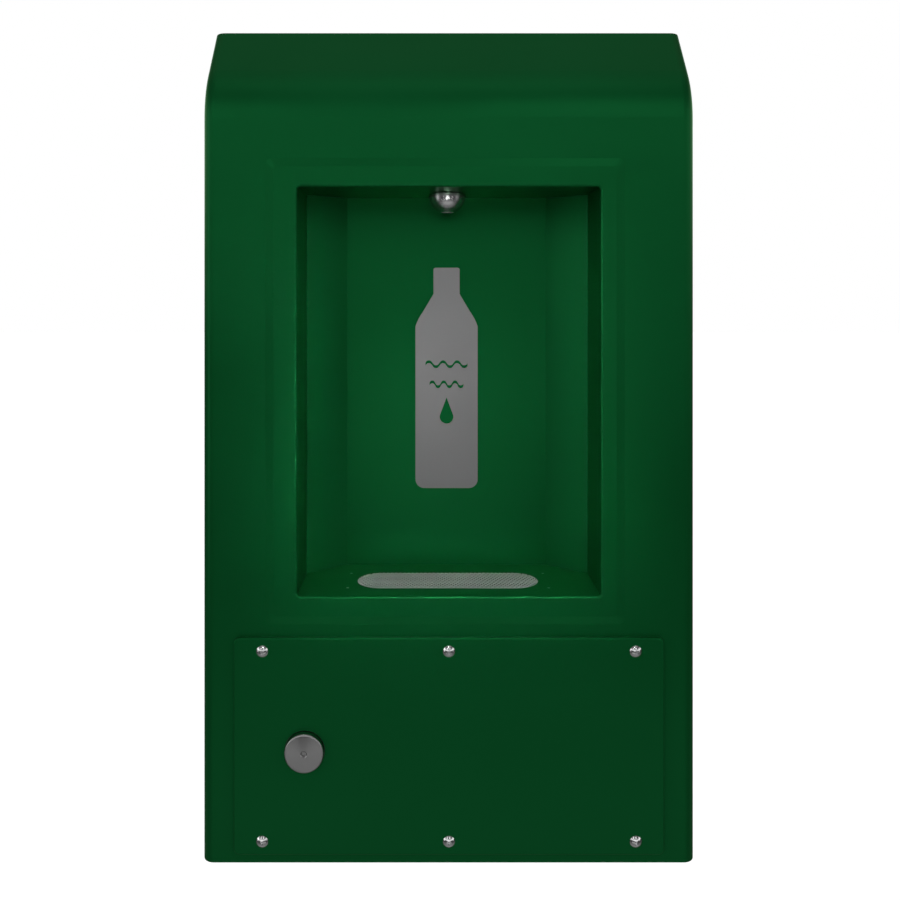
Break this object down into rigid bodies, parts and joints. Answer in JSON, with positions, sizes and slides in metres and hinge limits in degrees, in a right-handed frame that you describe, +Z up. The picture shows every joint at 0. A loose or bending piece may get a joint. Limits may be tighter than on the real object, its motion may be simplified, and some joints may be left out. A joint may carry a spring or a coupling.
{
  "type": "bottle filling station",
  "caption": "Wall-mounted drinking-water station: sheet-metal cabinet with a tall bottle recess, ceiling nozzle, drain grille, push button and screwed access panel.",
  "frame": {"origin": "centre of the four wall-fixing holes, in the plane of the back face", "axes": "+Y into the wall, front faces -Y, +Z up, +X to the right seen from the front"},
  "size_m": [0.506, 0.213, 0.8674],
  "materials": {
    "cabinet_green": "satin, finely grained",
    "zinc_sheet": "matt zinc plate",
    "zinc_hardware": "zinc plated",
    "spring_steel": "drawn wire",
    "stainless_hardware": "satin",
    "turned_stainless": "turned face",
    "brushed_stainless": "satin",
    "polished_stainless": "polished",
    "brass_parts": "machined",
    "chromed_brass": "plated",
    "white_plastic": "moulded",
    "grey_plastic": "moulded",
    "blue_plastic": "moulded",
    "black_foam": "closed-cell foam",
    "black_rubber": "matt",
    "tube_plastic": "drawn tube"
  },
  "bodies": {
    "cabinet": {"housing_shell": "cabinet_green", "alcove_liner": "cabinet_green", "alcove_surround": "cabinet_green", "access_panel": "cabinet_green", "back_plate": "zinc_sheet", "hanging_rail": "zinc_sheet", "valve_bracket": "zinc_sheet", "filter_bracket": "zinc_sheet", "cabinet_screws": "zinc_hardware", "panel_nuts": "zinc_hardware", "sign_studs": "zinc_hardware", "sign_nuts": "zinc_hardware", "tray_screws": "zinc_hardware", "bracket_screws": "zinc_hardware", "bracket_studs": "zinc_hardware", "bracket_nuts": "zinc_hardware", "return_spring": "spring_steel", "panel_screws": "stainless_hardware", "bottle_sign": "brushed_stainless", "drain_grille": "brushed_stainless", "drain_tray": "brushed_stainless", "waste_fitting": "brushed_stainless", "nozzle_dome": "polished_stainless", "nozzle_stem": "brass_parts", "nozzle_nut": "brass_parts", "waste_nut": "brass_parts", "valve_body": "brass_parts", "valve_lock_nut": "brass_parts", "angle_valve_body": "chromed_brass", "nozzle_insert": "white_plastic", "trap_body": "white_plastic", "trap_cup": "white_plastic", "trap_inlet_nut": "white_plastic", "trap_outlet_nut": "white_plastic", "waste_pipe": "white_plastic", "filter_head": "grey_plastic", "nozzle_elbow": "grey_plastic", "button_guide": "grey_plastic", "panel_gasket": "black_foam", "nozzle_seal": "black_rubber", "tray_gasket": "black_rubber", "waste_washer": "black_rubber", "waste_edging": "black_rubber", "inlet_edging": "black_rubber", "inlet_tube": "tube_plastic", "filtered_tube": "tube_plastic", "nozzle_tube": "tube_plastic"},
    "button": {"push_button": "turned_stainless", "button_stem": "turned_stainless", "stem_clip": "spring_steel"},
    "shutoff": {"shutoff_handle": "blue_plastic", "shutoff_stem": "brass_parts", "handle_screw": "zinc_hardware"},
    "cartridge": {"filter_cartridge": "white_plastic", "cartridge_seal": "black_rubber"}
  },
  "joints": [
    {"name": "button_press", "type": "slide", "parent": "cabinet", "child": "button", "axis": [0, 1, 0], "range_m": [0, 0.006], "stiffness_N_per_m": 800, "springref_m": -0.01, "deforming": ["return_spring"]},
    {"name": "shutoff_turn", "type": "hinge", "parent": "cabinet", "child": "shutoff", "pos_m": [0.11, -0.08, -0.36], "axis": [0, 1, 0], "range_deg": [0, 90]},
    {"name": "cartridge_twist", "type": "hinge", "parent": "cabinet", "child": "cartridge", "pos_m": [0.205, -0.045, -0.14], "axis": [0, 0, 1], "range_deg": [0, 60]}
  ]
}
